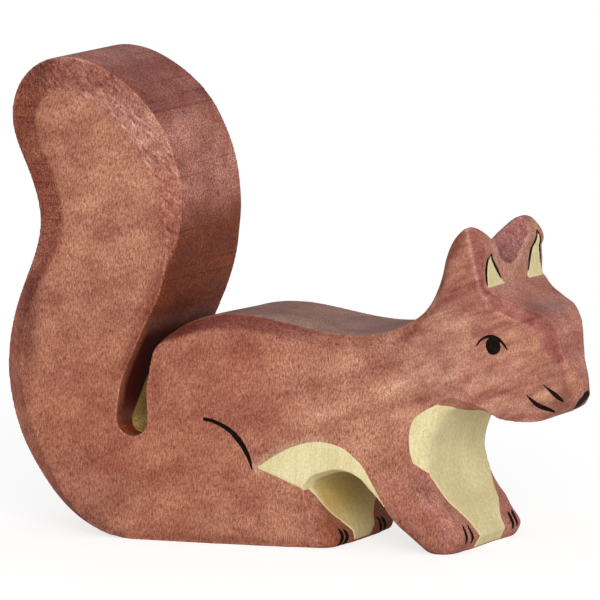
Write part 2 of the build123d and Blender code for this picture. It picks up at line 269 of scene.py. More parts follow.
# Chest: its edge on the flank and its line on the wall, as (forward, up), and the sides of its front
chest_edge = [
    (23.6, 14.2), (23.15, 15.3), (22.87, 17.0), (22.96, 19.07), (23.79, 21.18), (25.68, 22.56), (27.9, 23.62),
]
chest_wall = [
    (25.0, 12.5), (25.1, 13.6), (25.35, 15.5), (25.9, 17.3), (26.8, 19.2), (28.2, 21.4), (30.3, 23.0),
]
chest_front_near = [
    (-11.35, 13.3), (-10.33, 11.9), (-9.5, 10.95), (-8.85, 9.7),
    (-7.61, 6.87), (-5.2, 4.23), (-4.2, 1.96), (-4.3, 0.05),
]
chest_front_far = [(11.9, 13.3), (10.6, 10.2), (8.1, 6.7), (6.9, 5.3), (5.1, 3.2), (5.1, 0.05)]

# Ears, as (across, up): the cream's outer and inner edges, and the black strokes round it
ear_marks = {
    "right": {
        "outer": [(-8.78, 46.5), (-9.75, 45.0), (-10.0, 43.5), (-9.8, 41.6)],
        "inner": [(-8.72, 46.5), (-7.3, 44.9), (-5.4, 43.2), (-3.4, 41.65)],
        "strokes": [
            [(-8.76, 46.9), (-9.82, 45.23), (-10.1, 43.57), (-9.7, 41.95)],
            [(-8.76, 46.9), (-7.19, 45.05), (-5.9, 43.7), (-4.66, 42.48)],
        ],
    },
    "left": {
        "outer": [(8.72, 48.0), (9.3, 46.0), (9.9, 43.6), (10.6, 41.3)],
        "inner": [(8.4, 48.0), (7.1, 46.0), (5.7, 44.0), (4.5, 41.4)],
        "strokes": [
            [(8.6, 48.6), (9.4, 46.02), (9.6, 44.4), (9.7, 42.9)],
            [(8.6, 48.6), (6.7, 46.1), (5.8, 44.2), (5.25, 42.4)],
        ],
    },
}
ear_stroke_widths = (0.2, 0.8, 0.95, 0.85, 0.3)

# Strokes on the sides, as (forward, up), with their widths from end to end
pupil_radius = 1.2
pupil_line = [(36.75, 31.4), (36.75, 32.83), (36.75, 34.25)]
lid_line = [
    (34.28, 32.73), (34.82, 33.62), (35.61, 34.18), (36.64, 34.36),
    (37.51, 34.02), (38.24, 33.07), (38.71, 32.07),
]
lid_widths = (0.12, 0.36, 0.5, 0.6, 0.5, 0.36, 0.1)
upper_whisker = [(43.08, 26.49), (44.27, 25.13), (45.53, 23.61)]
upper_whisker_widths = (0.1, 0.4, 0.6, 0.66, 0.3)
lower_whisker = [(40.99, 25.06), (42.35, 23.43), (44.33, 22.1)]
lower_whisker_widths = (0.1, 0.5, 0.75, 0.8, 0.4)
haunch_line = [
    (-12.75, 19.75), (-10.31, 19.17), (-8.01, 18.01), (-6.3, 16.35), (-4.91, 14.04), (-4.27, 11.97),
]
haunch_widths = (0.7, 0.72, 0.78, 0.95, 1.1, 1.0, 0.7, 0.25)

# Claws and nose, as (across, up)
hind_claws = {
    "right": [[(-8.4, 2.8), (-8.2, 1.25), (-9.2, 0.05)], [(-7.0, 2.5), (-6.6, 1.1), (-7.5, 0.05)]],
    "left": [[(4.9, 2.6), (5.4, 1.25), (5.4, 0.2)], [(6.4, 2.5), (7.0, 1.25), (7.0, 0.3)]],
}
front_claws = {
    "right": [[(-7.95, 4.3), (-8.2, 2.9), (-8.4, 1.25)], [(-6.3, 4.15), (-6.35, 2.7), (-6.3, 1.05)]],
    "left": [[(8.15, 4.05), (7.4, 2.9), (7.3, 1.3)], [(9.6, 4.05), (8.65, 2.95), (8.5, 1.6)]],
}
hind_claw_width = 1.2
front_claw_width = 0.85
claw_taper = np.array([0.3, 0.95, 1.1, 1.0, 0.4])
nose_line = [(0.6, 21.9), (0.4, 23.3), (0.2, 24.8)]
nose_widths = (1.0, 2.8, 4.0, 3.8, 1.8)


# Soft limits

def smoothstep(low, high, value):
    """Rise smoothly from 0 at low to 1 at high; low may be the larger."""
    t = np.clip((value - low) / (high - low), 0, 1)
    return t * t * (3 - 2 * t)


def window(start, full, fade, end, value):
    """Rise smoothly from 0 at start to 1 at full, and fall again from fade to end."""
    return smoothstep(start, full, value) * smoothstep(end, fade, value)


def bell(middle, reach, value):
    """Return 1 in the middle, and less to both sides of it, about a third at the reach."""
    return np.exp(-((value - middle) / reach) ** 2)


# Scene and shader helpers

def link(thing):
    """Put an object into the scene."""
    bpy.context.scene.collection.objects.link(thing)
    return thing


def node(tree, kind, inputs=None, **settings):
    """Add a node, set its properties, and fill its inputs with numbers or links."""
    made = tree.nodes.new(kind)
    for key, value in settings.items():
        setattr(made, key, value)
    for key, value in (inputs or {}).items():
        if isinstance(value, bpy.types.NodeSocket):
            tree.links.new(value, made.inputs[key])
        else:
            made.inputs[key].default_value = value
    return made


def direct_view(tree):
    """Return 1 for rays that show the background itself and 0 for light."""
    return node(tree, "ShaderNodeLightPath").outputs["Is Camera Ray"]


def new_material(name):
    """Return a new material, its node tree and its shader."""
    material = bpy.data.materials.new(name)
    material.use_nodes = True
    return material, material.node_tree, material.node_tree.nodes["Principled BSDF"]


def grain(tree, length, lean=0.0, detail=2.0, roughness=0.5):
    """Return a noise over the object; its features have a length along X, Y and Z in millimetres.

    Lean turns the whole pattern in the plane of the board, up towards the nose.
    """
    coordinates = node(tree, "ShaderNodeTexCoord")
    mapping = node(tree, "ShaderNodeMapping", {
        "Vector": coordinates.outputs["Object"],
        "Rotation": (0, math.radians(-lean), 0),
        "Scale": [size * MM for size in length],
    }, vector_type="TEXTURE")
    texture = node(tree, "ShaderNodeTexNoise", {
        "Vector": mapping.outputs[0], "Scale": 1.0, "Detail": detail, "Roughness": roughness,
    })
    return texture.outputs["Fac"]


def ranged(tree, value, low, high, to_low, to_high):
    """Map a value's range onto another one."""
    made = node(tree, "ShaderNodeMapRange", {
        "Value": value, "From Min": low, "From Max": high, "To Min": to_low, "To Max": to_high,
    }, interpolation_type="SMOOTHSTEP")
    return made.outputs["Result"]


def times(tree, a, b):
    """Return the product of two values."""
    return node(tree, "ShaderNodeMath", {0: a, 1: b}, operation="MULTIPLY").outputs[0]


def between(tree, amount, first, last):
    """Return a colour that goes from the first to the last as the amount goes from 0 to 1."""
    made = node(tree, "ShaderNodeMix", {0: amount, 6: (*first, 1), 7: (*last, 1)}, data_type="RGBA")
    return made.outputs[2]


def multiplied(tree, amount, colour, tint):
    """Multiply a colour by a tint, as far as the amount says."""
    made = node(tree, "ShaderNodeMix", {0: amount, 6: colour, 7: tint},
                data_type="RGBA", blend_type="MULTIPLY")
    return made.outputs[2]


def varied(tree, colour, pattern, low, high, dark, light):
    """Multiply a colour by a tint that goes from dark to light as the pattern goes from low to high."""
    tint = between(tree, ranged(tree, pattern, low, high, 0, 1), dark, light)
    return multiplied(tree, 1.0, colour, tint)


def attribute(tree, name, output="Fac"):
    """Return a value that is stored on the mesh."""
    return node(tree, "ShaderNodeAttribute", attribute_name=name).outputs[output]


def roughen(tree, shader, height, strength, distance):
    """Give a surface a fine relief; the distance is in millimetres."""
    bump = node(tree, "ShaderNodeBump", {"Height": height, "Strength": strength, "Distance": distance * MM})
    tree.links.new(bump.outputs[0], shader.inputs["Normal"])


# Camera and light

def direction(azimuth, elevation):
    """Return the unit vector towards a place seen at these angles; azimuth 0 is -Y and 90 is +X."""
    a = math.radians(azimuth)
    e = math.radians(elevation)
    return Vector((math.sin(a) * math.cos(e), -math.cos(a) * math.cos(e), math.sin(e)))


def add_camera():
    """Place the camera at the photograph's angle."""
    back = direction(camera_azimuth, camera_elevation)
    data = bpy.data.cameras.new("photo_camera")
    data.lens = camera_lens
    data.sensor_width = sensor_width
    data.clip_start = 0.01
    data.clip_end = 20.0
    camera = link(bpy.data.objects.new("photo_camera", data))
    place = (Vector(camera_aim) + back * camera_distance) * MM
    turn = back.to_track_quat("Z", "Y").to_matrix() @ Matrix.Rotation(math.radians(camera_roll), 3, "Z")
    camera.matrix_world = Matrix.Translation(place) @ turn.to_4x4()
    bpy.context.scene.camera = camera


def add_light():
    """Light the figure with one broad soft key and a pale sky that looks white to the camera."""
    data = bpy.data.lights.new("key", "SUN")
    data.energy = key_strength
    data.angle = math.radians(key_softness)
    key = link(bpy.data.objects.new("key", data))
    key.rotation_euler = direction(key_azimuth, key_elevation).to_track_quat("Z", "Y").to_euler()

    world = bpy.data.worlds.new("studio")
    bpy.context.scene.world = world
    world.use_nodes = True
    tree = world.node_tree
    sky = tree.nodes["Background"]
    sky.inputs["Color"].default_value = (1, 1, 1, 1)
    sky.inputs["Strength"].default_value = sky_strength
    seen = node(tree, "ShaderNodeBackground", {"Color": (1, 1, 1, 1), "Strength": 1.0})
    mix = node(tree, "ShaderNodeMixShader", {0: direct_view(tree), 1: sky.outputs[0], 2: seen.outputs[0]})
    tree.links.new(mix.outputs[0], tree.nodes["World Output"].inputs["Surface"])


# Materials

def stained_wood():
    """Brown stain over fine wood, with painted shade and highlights in its stored colour: clouded, banded by
    the growth rings, and flecked by short fibres.
    """
    material, tree, shader = new_material("stained_wood")
    ringed = attribute(tree, "ringed")
    flecked = attribute(tree, "flecked")
    streaky = attribute(tree, "streaky")
    calm = ranged(tree, streaky, 0, 1, 1, 0.35)

    bands = grain(tree, (42, 20, 5.5), lean=17)
    clouds = grain(tree, (5.5, 5, 4), lean=20, detail=3, roughness=0.65)
    fibres = grain(tree, (0.24, 0.24, 0.75), lean=-10, detail=1)
    specks = grain(tree, (0.2, 0.2, 0.24), roughness=0.7)
    rings = grain(tree, (60, 50, 0.5), lean=3)
    brushed = grain(tree, (1.8, 1.6, 0.42), lean=-42, roughness=0.6)
    streaks = grain(tree, (9, 6, 1.2), lean=20, detail=3, roughness=0.6)
    blotches = grain(tree, (4.5, 4, 2), lean=25)

    # the stain's colour, with painted shade and light included
    colour = attribute(tree, "stain", "Color")
    colour = varied(tree, colour, bands, 0.30, 0.70, (0.91, 0.87, 0.87), (1.08, 1.12, 1.12))
    colour = varied(tree, colour, clouds, 0.30, 0.70, (0.83, 0.74, 0.74), (1.15, 1.23, 1.23))
    colour = varied(tree, colour, specks, 0.34, 0.66, (0.78, 0.69, 0.68), (1.20, 1.28, 1.30))
    # tints that set in as a pattern goes from one value to another, each on its own part of the wood
    for pattern, start, full, tint, where in (
        (fibres, 0.50, 0.30, (0.72, 0.62, 0.60), calm),
        (fibres, 0.46, 0.64, (1.18, 1.26, 1.27), calm),
        (blotches, 0.50, 0.34, (0.78, 0.66, 0.68), streaky),
        (blotches, 0.50, 0.66, (1.14, 1.22, 1.22), streaky),
        (specks, 0.48, 0.34, (0.52, 0.44, 0.44), ringed),
        (specks, 0.52, 0.66, (1.30, 1.36, 1.40), ringed),
        (streaks, 0.48, 0.28, (0.74, 0.60, 0.62), streaky),
        (streaks, 0.52, 0.72, (1.18, 1.28, 1.28), streaky),
        (rings, 0.41, 0.32, (0.728, 0.664, 0.68), ringed),
        (brushed, 0.50, 0.66, (1.40, 1.56, 1.62), flecked),
        (brushed, 0.46, 0.32, (0.66, 0.58, 0.58), flecked),
    ):
        amount = times(tree, ranged(tree, pattern, start, full, 0, 1), where)
        colour = multiplied(tree, amount, colour, (*tint, 1))
    # lighter where chips show pale wood, and a painted highlight along the crests of the rounded edges
    colour = multiplied(tree, attribute(tree, "chips_and_edge_highlight"), colour, (1.50, 1.72, 1.80, 1))
    tree.links.new(colour, shader.inputs["Base Color"])

    tree.links.new(ranged(tree, clouds, 0.3, 0.7, 0.54, 0.70), shader.inputs["Roughness"])
    shader.inputs["Specular IOR Level"].default_value = 0.15
    height = node(tree, "ShaderNodeMath", {0: fibres, 1: specks}, operation="ADD").outputs[0]
    roughen(tree, shader, height, 0.4, 0.06)
    return material


def cream_paint():
    """Thin cream paint with the grain showing faintly through it, and a painted shade that makes it browner
    under the arch.
    """
    material, tree, shader = new_material("cream_paint")
    fibres = grain(tree, (0.55, 0.55, 14), lean=-4, detail=3, roughness=0.6)
    clouds = grain(tree, (5, 5, 7))
    specks = grain(tree, (0.3, 0.3, 0.5), roughness=0.7)
    colour = between(tree, ranged(tree, fibres, 0.30, 0.62, 0, 1), (0.78, 0.665, 0.34), (0.85, 0.75, 0.435))
    colour = varied(tree, colour, clouds, 0.3, 0.7, (0.94, 0.93, 0.90), (1.05, 1.05, 1.08))
    colour = varied(tree, colour, specks, 0.3, 0.7, (0.89, 0.88, 0.85), (1.08, 1.09, 1.11))
    # painted shade: browner and darker under the arch
    colour = multiplied(tree, attribute(tree, "arch_shade"), colour, (0.74, 0.63, 0.38, 1))
    tree.links.new(colour, shader.inputs["Base Color"])
    tree.links.new(ranged(tree, clouds, 0.3, 0.7, 0.58, 0.72), shader.inputs["Roughness"])
    shader.inputs["Specular IOR Level"].default_value = 0.2
    roughen(tree, shader, fibres, 0.3, 0.05)
    return material


def black_paint():
    """Brushed black paint, a little browner where it is thin."""
    material, tree, shader = new_material("black_paint")
    streaks = grain(tree, (0.5, 0.5, 0.7), lean=30, detail=3)
    thin = ranged(tree, streaks, 0.50, 0.75, 0, 1)
    colour = between(tree, thin, (0.006, 0.0035, 0.0025), (0.020, 0.011, 0.007))
    tree.links.new(colour, shader.inputs["Base Color"])
    tree.links.new(ranged(tree, streaks, 0.3, 0.7, 0.50, 0.66), shader.inputs["Roughness"])
    shader.inputs["Specular IOR Level"].default_value = 0.06
    roughen(tree, shader, streaks, 0.2, 0.04)
    return material


def floor_material():
    """A pale floor that takes light like any other, and looks nearly white to the camera."""
    material, tree, shader = new_material("floor")
    shader.inputs["Roughness"].default_value = 0.9
    shader.inputs["Specular IOR Level"].default_value = 0.0
    seen = direct_view(tree)
    tree.links.new(between(tree, seen, (0.8, 0.8, 0.8), (0.5, 0.5, 0.5)), shader.inputs["Base Color"])
    tree.links.new(times(tree, seen, floor_glow), shader.inputs["Emission Strength"])
    shader.inputs["Emission Color"].default_value = (1, 1, 1, 1)
    return material


# Wood

def even_mesh(source, size):
    """Return an even, closed mesh of quads over a CAD node's solid."""
    helper = link(bpy.data.objects.new("even_helper", source.data.copy()))
    remesh = helper.modifiers.new("even", "REMESH")
    remesh.mode = "VOXEL"
    remesh.voxel_size = size
    graph = bpy.context.evaluated_depsgraph_get()
    mesh = bpy.data.meshes.new_from_object(helper.evaluated_get(graph))
    bpy.data.objects.remove(helper)
    return mesh


def neighbour_means(points, edges):
    """Return the mean of each point's neighbours, for places or for any other columns of values."""
    count = np.bincount(edges.ravel(), minlength=len(points))[:, None]
    total = np.stack([
        np.bincount(edges[:, 0], column[edges[:, 1]], len(points))
        + np.bincount(edges[:, 1], column[edges[:, 0]], len(points))
        for column in points.T
    ], axis=1)
    return total / count


def spread(values, edges, rounds):
    """Let a value on the points run softly into its surroundings."""
    for _ in range(rounds):
        values = neighbour_means(values[:, None], edges)[:, 0]
    return values


def smooth(points, edges, weight, rounds):
    """Round a mesh off without shrinking it: each round draws points in and lets them out again."""
    for _ in range(rounds):
        for pull in (weight, -1.02 * weight):
            points = points + (neighbour_means(points, edges) - points) * pull
    return points


def line_distance(x, z, line):
    """Return how far points in the board's plane are from a line of straight stretches."""
    best = np.full(len(x), np.inf)
    for (x0, z0), (x1, z1) in zip(line, line[1:]):
        run = (x1 - x0) ** 2 + (z1 - z0) ** 2
        part = np.clip(((x - x0) * (x1 - x0) + (z - z0) * (z1 - z0)) / run, 0, 1)
        best = np.minimum(best, np.hypot(x - x0 - part * (x1 - x0), z - z0 - part * (z1 - z0)))
    return best


def read(collection, name, width, kind=float):
    """Return one property of all items of a mesh, a row for each."""
    values = np.empty(len(collection) * width, dtype=kind)
    collection.foreach_get(name, values)
    return values.reshape(-1, width)


def finish_by_hand(points):
    """Move the sawn surface where a file and sandpaper changed it."""
    x, y, z = points.T.copy()
    # the far edge of the back lies a little lower
    away = smoothstep(-9, half_thickness, y) * window(-22, -14, -2, 24, x)
    points[:, 2] -= far_back_drop * away * smoothstep(24, 34, z)
    # a flat band below the edge of the forehead, and a fuller cheek under it
    depth = line_distance(x, z, brow_line)
    ahead = smoothstep(35.0, 36.4, x) * smoothstep(30, 35, z)
    ramp = np.clip(depth / brow_band, 0, 1)
    swell = cheek_swell * ramp * smoothstep(5 * brow_band, brow_band, depth)
    widths = np.interp(x, head_stations, head_half_widths)
    points[:, 1] *= 1 + ahead * (swell - brow_inset * (1 - ramp)) / widths
    # the groove between the ears lies off the middle, and the far ear is a little lower
    groove = smoothstep(43.5, 45.5, z) * smoothstep(26, 28, x) * smoothstep(11.5, 8.5, np.abs(y))
    points[:, 1] -= notch_shift * groove
    points[:, 2] -= far_ear_drop * smoothstep(46, 50, z) * smoothstep(0, 6, y) * smoothstep(25, 27, x)
    # the line of forehead and nose, a fuller chin, and a shallower corner at the throat
    points[:, 0] += np.interp(z, profile_heights, profile_shifts) * smoothstep(35.5, 38.5, x)
    points[:, 2] -= chin_drop * smoothstep(25, 21.5, z) * window(33, 37, 46, 48.5, x)
    points[:, 2] -= throat_fill * bell(32, 2.2, x) * window(20, 22.5, 24, 27, z)
    # a fuller back to the tail, whose tip lies further back on the far side
    points[:, 0] -= tail_swell * smoothstep(-30, -38, x) * smoothstep(8, 16, z)
    points[:, 0] -= tail_swell * smoothstep(0, 10, y) * smoothstep(-24, -18, x) * smoothstep(48, 56, z)
    # a fuller heel on the front leg, hind toes that reach forward, and far front toes that do so too
    points[:, 0] -= heel_swell * window(17, 19, 25, 29, x) * smoothstep(8.5, 4, z)
    points[:, 0] += toe_reach * window(4, 8, 12, 16, x) * smoothstep(3.5, 0.5, z)
    points[:, 0] += toe_reach * smoothstep(27, 29, x) * smoothstep(5, 2, z) * smoothstep(3, 9, y)
    # a wider slot, with a fuller shoulder at its mouth
    from_middle = x - np.interp(z, slot_heights, slot_middles)
    tail_side = (from_middle < 0) * smoothstep(-31, -28, x) * smoothstep(8, -2, y) * window(20, 25, 33, 40, z)
    back_side = (from_middle > 0) * smoothstep(-15, -18, x) * window(24, 26.5, 28, 30, z)
    points[:, 0] += back_side_widening * back_side - tail_side_widening * tail_side
    shoulder = bell(shoulder_place[0], shoulder_reach, x) * bell(shoulder_place[1], shoulder_reach, z)
    points[:, [0, 2]] += shoulder[:, None] * np.array(shoulder_push)
    # a lower roof to the arch
    points[:, 2] -= arch_drop * window(5.5, 8, 15, 17.5, x) * window(7.5, 9.5, 13, 15.5, z)
    # flat soles with a crisp rim, and a rump whose curve runs softly into its sole
    low = z < sole_band
    points[low, 2] = np.maximum(z[low] - sole_lift, 0) * sole_band / (sole_band - sole_lift)
    points[:, 2] += rump_lift * bell(-29.7, 2.0, x) * smoothstep(4, 1, z)


def carve_wood():
    """Give the sawn solid its hand-finished surface."""
    mesh = even_mesh(wood_solid, voxel * MM)
    mesh.name = "squirrel_wood"
    points = read(mesh.vertices, "co", 3) / MM
    edges = read(mesh.edges, "vertices", 2, np.int32)
    points = smooth(points, edges, 0.5, edge_rounds)
    x, y, z = points.T
    toes = np.maximum(window(1, 4, 12, 14, x), smoothstep(20, 23, x)) * smoothstep(5, 2, z)
    chest = window(20, 22, 31, 33, x) * window(13, 15, 21.5, 23.5, z)
    nape = 0.6 * window(23, 25, 31, 33, x) * smoothstep(33, 37, z)
    soft = 0.5 * np.maximum.reduce([toes, chest, nape]) * smoothstep(4, 8, np.abs(y))
    for _ in range(toe_rounds):
        points += (neighbour_means(points, edges) - points) * soft[:, None]
    finish_by_hand(points)
    mesh.vertices.foreach_set("co", (points * MM).ravel())
    mesh.polygons.foreach_set("use_smooth", np.ones(len(mesh.polygons), dtype=bool))
    mesh.update()
    stain_wood(mesh, points, edges)
    mesh.materials.clear()
    mesh.materials.append(stained_wood())
    return link(bpy.data.objects.new("squirrel_wood", mesh))


# Stain, with painted shade and light

class Stain:
    """The stain on the wood, with shade and light painted into it: what each point faces, which part it
    belongs to, and its colour so far.
    """

    def __init__(self, mesh, points):
        self.x, self.y, self.z = points.T
        self.normals = read(mesh.vertex_normals, "vector", 3)
        self.side = np.abs(self.normals[:, 1])
        tilt = np.maximum(np.hypot(self.normals[:, 0], self.normals[:, 2]), 0.02)
        self.up = smoothstep(0.35, 0.85, self.normals[:, 2] / tilt)
        self.forward = smoothstep(0.1, 0.5, self.normals[:, 0] / tilt)
        self.backward = smoothstep(0.1, -0.5, self.normals[:, 0] / tilt)
        self.wall = smoothstep(0.45, 0.2, self.side)
        self.bevel = smoothstep(0.99, 0.95, self.side) * (1 - self.wall) * smoothstep(35, 32, self.x)
        self.tail = smoothstep(-13, -15, self.x) * smoothstep(33, 36, self.z)
        self.groove = self.find_groove()
        self.outside = smoothstep(0.3, 0.5, self.side) * (1 - self.groove)
        self.colour = np.tile(face_brown, (len(points), 1))

    def find_groove(self):
        """Return where the groove between the ears is."""
        across = np.abs(self.y)
        facing = np.maximum(-self.normals[:, 1] * np.sign(self.y), 1 - across / 2.5)
        groove = smoothstep(0.15, 0.4, facing) * smoothstep(0.45, 0.25, np.abs(self.normals[:, 0]))
        return groove * smoothstep(43, 44, self.z) * smoothstep(26, 28, self.x) * smoothstep(11.8, 11, across)

    def distance(self, line):
        """Return how far each point is from a line on the sides."""
        return line_distance(self.x, self.z, line)

    def paint(self, weight, target):
        """Bring the colour towards a target, as far as the weight says."""
        self.colour += (np.array(target) - self.colour) * weight[:, None]

    def drift(self, place, reach, lean, tint, where=1.0):
        """Tint an oval at a place, with a reach along and across its lean."""
        cos = math.cos(math.radians(lean))
        sin = math.sin(math.radians(lean))
        along = (self.x - place[0]) * cos + (self.z - place[1]) * sin
        aside = (self.z - place[1]) * cos - (self.x - place[0]) * sin
        weight = where * bell(0, reach[0], along) * bell(0, reach[1], aside)
        self.colour *= 1 + (np.array(tint) - 1) * weight[:, None]


def stain_walls(stain):
    """Sawn walls, with painted shade low on the front of the tail and a greyer tone painted on the top of the
    back as its sheen.
    """
    x, z = stain.x, stain.z
    tail_wall = stain.wall * stain.tail
    stain.paint(stain.wall, wall_brown)
    stain.paint(tail_wall * smoothstep(64, 69, z), tail_crown_brown)
    stain.paint(tail_wall * smoothstep(73, 75.5, z), tail_tip_brown)
    stain.paint(tail_wall * stain.forward * smoothstep(56, 47, z), tail_shade_brown)
    # painted sheen: greyer on the up-facing top of the back
    stain.paint(stain.wall * stain.up * window(-20, -14, 24, 30, x), back_sheen_grey)


def stain_bevels(stain, edges):
    """Bevels of the tail, the back, the front leg and the hind toes."""
    x, z = stain.x, stain.z
    soft = spread(stain.bevel, edges, bevel_spread) * (1 - stain.wall)
    on_back = window(-20, -17, 20, 24, x) * smoothstep(24, 27, z)
    edge_near = smoothstep(0.02, 0.2, spread(stain.wall, edges, 2 * bevel_spread))
    soft *= 1 - (0.15 + 0.45 * smoothstep(-5, 6, x)) * on_back * (1 - edge_near)
    soft *= 1 - 0.95 * smoothstep(24, 27, x) * smoothstep(30, 36, z)
    upright = 1 - 0.6 * stain.up
    stain.paint(soft * (0.35 + 0.65 * stain.backward), bevel_brown)
    stain.paint(soft * stain.up * (1 - 0.8 * smoothstep(4, 14, x)), bevel_top_brown)
    stain.paint(soft * stain.up * on_back * smoothstep(14, 0, x), back_edge_brown)
    stain.paint(soft * stain.backward * smoothstep(44, 56, z) * upright, tail_back_brown)
    stain.paint(soft * stain.forward * upright * stain.tail, tail_front_brown)
    stain.paint(soft * stain.forward * window(57, 63, 68, 72, z) * stain.tail, tail_front_top_brown)
    stain.paint(stain.bevel * stain.forward * smoothstep(20, 22, x) * smoothstep(14, 11, z), leg_edge_brown)
    # painted shade on the forward-facing bevels of the hind toes, under the arch
    turned = smoothstep(0.99, 0.96, stain.side) * stain.forward
    stain.paint(turned * window(5, 7, 14, 16, x) * smoothstep(8, 4, z), hind_toe_shade_brown)


def stain_slot(stain):
    """The slot, darkened to near black as painted shade and lighter towards the board's faces, with bare wood
    where no brush could reach.
    """
    x, z = stain.x, stain.z
    across = np.abs(stain.y)
    slot = stain.wall * window(-29, -27.5, -19, -15, x) * window(13, 14, 31, 38, z)
    # painted shade in the slot, lighter at its floor and towards the board's faces
    stain.paint(slot, slot_shade_brown)
    stain.paint(slot * smoothstep(18.5, 17.5, z), slot_floor_brown)
    stain.paint(slot * smoothstep(9.6, 11.6, across), slot_rim_brown)
    past_bare = across - np.interp(z, bare_heights, bare_reaches)
    stain.paint(slot * smoothstep(25.5, 24.5, z) * smoothstep(0.2, -0.2, past_bare), bare_wood)


def stain_head(stain):
    """Forehead with painted shade, ears with the groove between them, bevel of ear and brow with a highlight
    painted along its top edge, and the smeared stain on the muzzle, which also stands in for shade.
    """
    x, y, z = stain.x, stain.y, stain.z
    brow_depth = stain.distance(brow_line)
    crown = smoothstep(0.4, 0.15, brow_depth) * smoothstep(35.6, 36, x) * smoothstep(34, 36.5, z)
    stain.paint(crown, forehead_mauve)
    # painted shade on the forehead
    stain.paint(0.8 * crown * bell(42, 1.6, x) * smoothstep(7, 0, y), forehead_shade_grey)

    front = smoothstep(41.3, 42.3, z) * smoothstep(34, 35, x) * smoothstep(0.3, 0.6, stain.normals[:, 0])
    stain.paint(front * smoothstep(-9.5, -7.5, y), ear_tan)
    groove = stain.groove
    stain.paint(groove, groove_pink)
    stain.colour *= (1 + groove * np.interp(z, groove_heights, groove_lightness))[:, None]
    stain.paint(3 * groove * (1 - groove) * smoothstep(33, 34.5, x), rim_pink)

    crest_forward, crest_up = np.array(crest_line[:ear_crest_points][::-1]).T
    ear_band = smoothstep(0, 0.3, x - np.interp(z, crest_up, crest_forward)) * smoothstep(40, 41.5, z)
    brow_part = smoothstep(brow_band, brow_band - 0.4, brow_depth) * smoothstep(35.5, 36.2, x) * (1 - crown)
    brow_edge = bell(0.2, 0.22, brow_depth) * smoothstep(35.4, 36, x) * smoothstep(36, 37.5, z)
    crest = bell(0, crest_half_width, stain.distance(crest_line)) * smoothstep(34, 36, z)
    smear_and_shade = bell(0, np.interp(z, smear_heights, smear_half_widths), stain.distance(smear_line))
    stain.paint(brow_part * stain.outside, band_red)
    stain.paint(ear_band * stain.outside, ear_red)
    # dark stain along the brow's edge, which also stands in for its shade
    stain.paint(0.6 * brow_edge * stain.outside, smear_and_edge_shade_red)
    # a painted highlight along the crest of the ear's and brow's bevel
    stain.paint(crest * (0.25 + 0.45 * smoothstep(38, 42, z)) * stain.outside, rim_pink)
    # dark stain down the muzzle's corner, which also stands in for the corner's shade
    stain.paint(0.8 * smear_and_shade * stain.outside, smear_and_edge_shade_red)


def stain_wood(mesh, points, edges):
    """Stain the wood part by part, with painted shade and light among the stain, and store its colour, its
    chips with the painted highlight along its rounded edges, and where each kind of grain shows.
    """
    stain = Stain(mesh, points)
    x, y, z = stain.x, stain.y, stain.z
    for drift in face_drifts:
        stain.drift(*drift)
    stain_walls(stain)
    stain_bevels(stain, edges)
    for drift in edge_drifts:
        stain.drift(*drift, where=1 - stain.wall)
    stain_slot(stain)
    stain_head(stain)
    # paint that bled thinly past the top of the belly field
    bleed = smoothstep(1.5, 0.2, stain.distance(belly_top)) * smoothstep(10, 7, x)
    stain.paint(0.35 * bleed * smoothstep(0.9, 0.98, stain.side), pale_bleed)

    # a painted highlight along the crests of the rounded edges, and pale wood at the chips
    bulge = -np.sum((neighbour_means(points, edges) - points) * stain.normals, axis=1) / voxel
    chips_and_edge_highlight = 0.5 * smoothstep(0.035, 0.10, bulge) * smoothstep(0.1, 0.3, stain.side)
    for along, up, reach in chips:
        chips_and_edge_highlight = np.maximum(chips_and_edge_highlight, (y < -8) * bell(0, reach, np.hypot(x - along, z - up)))
    tail_bevel = stain.tail * np.maximum(stain.forward, stain.up)
    grain_parts = {
        "ringed": stain.tail * np.maximum(stain.wall, stain.bevel * stain.backward),
        "flecked": np.maximum(stain.bevel * (0.35 + 0.65 * tail_bevel), 0.6 * stain.groove),
        "chips_and_edge_highlight": chips_and_edge_highlight,
        "streaky": smoothstep(15, 31, x) * stain.outside * smoothstep(15, 22, z),
    }
    store = mesh.attributes.new("stain", "FLOAT_COLOR", "POINT")
    store.data.foreach_set("color", np.c_[stain.colour, np.ones(len(points))].astype(np.float32).ravel())
    for name, values in grain_parts.items():
        store = mesh.attributes.new(name, "FLOAT", "POINT")
        store.data.foreach_set("value", values.astype(np.float32))


# Paint on the wood

def curve_through(points, count):
    """Return evenly spaced points along a smooth curve through the given ones."""
    knots = np.array(points, dtype=float)
    padded = np.vstack([2 * knots[0] - knots[1], knots, 2 * knots[-1] - knots[-2]])
    dense = []
    for i in range(len(knots) - 1):
        a, b, c, d = padded[i:i + 4]
        bend = 2 * a - 5 * b + 4 * c - d
        twist = 3 * b - a - 3 * c + d
        for t in np.linspace(0, 1, curve_steps, endpoint=False):
            dense.append(b + 0.5 * t * (c - a + t * (bend + t * twist)))
    dense = np.vstack([dense, knots[-1]])
    run = np.r_[0, np.cumsum(np.linalg.norm(np.diff(dense, axis=0), axis=1))]
    where = np.linspace(0, run[-1], count)
    return np.stack([np.interp(where, run, column) for column in dense.T], axis=1)


def wobble(place, seed):
    """Return a small smooth irregularity at a place along an edge."""
    return ripple * noise.noise((place * ripple_scale, seed * ripple_stride, 0.5))


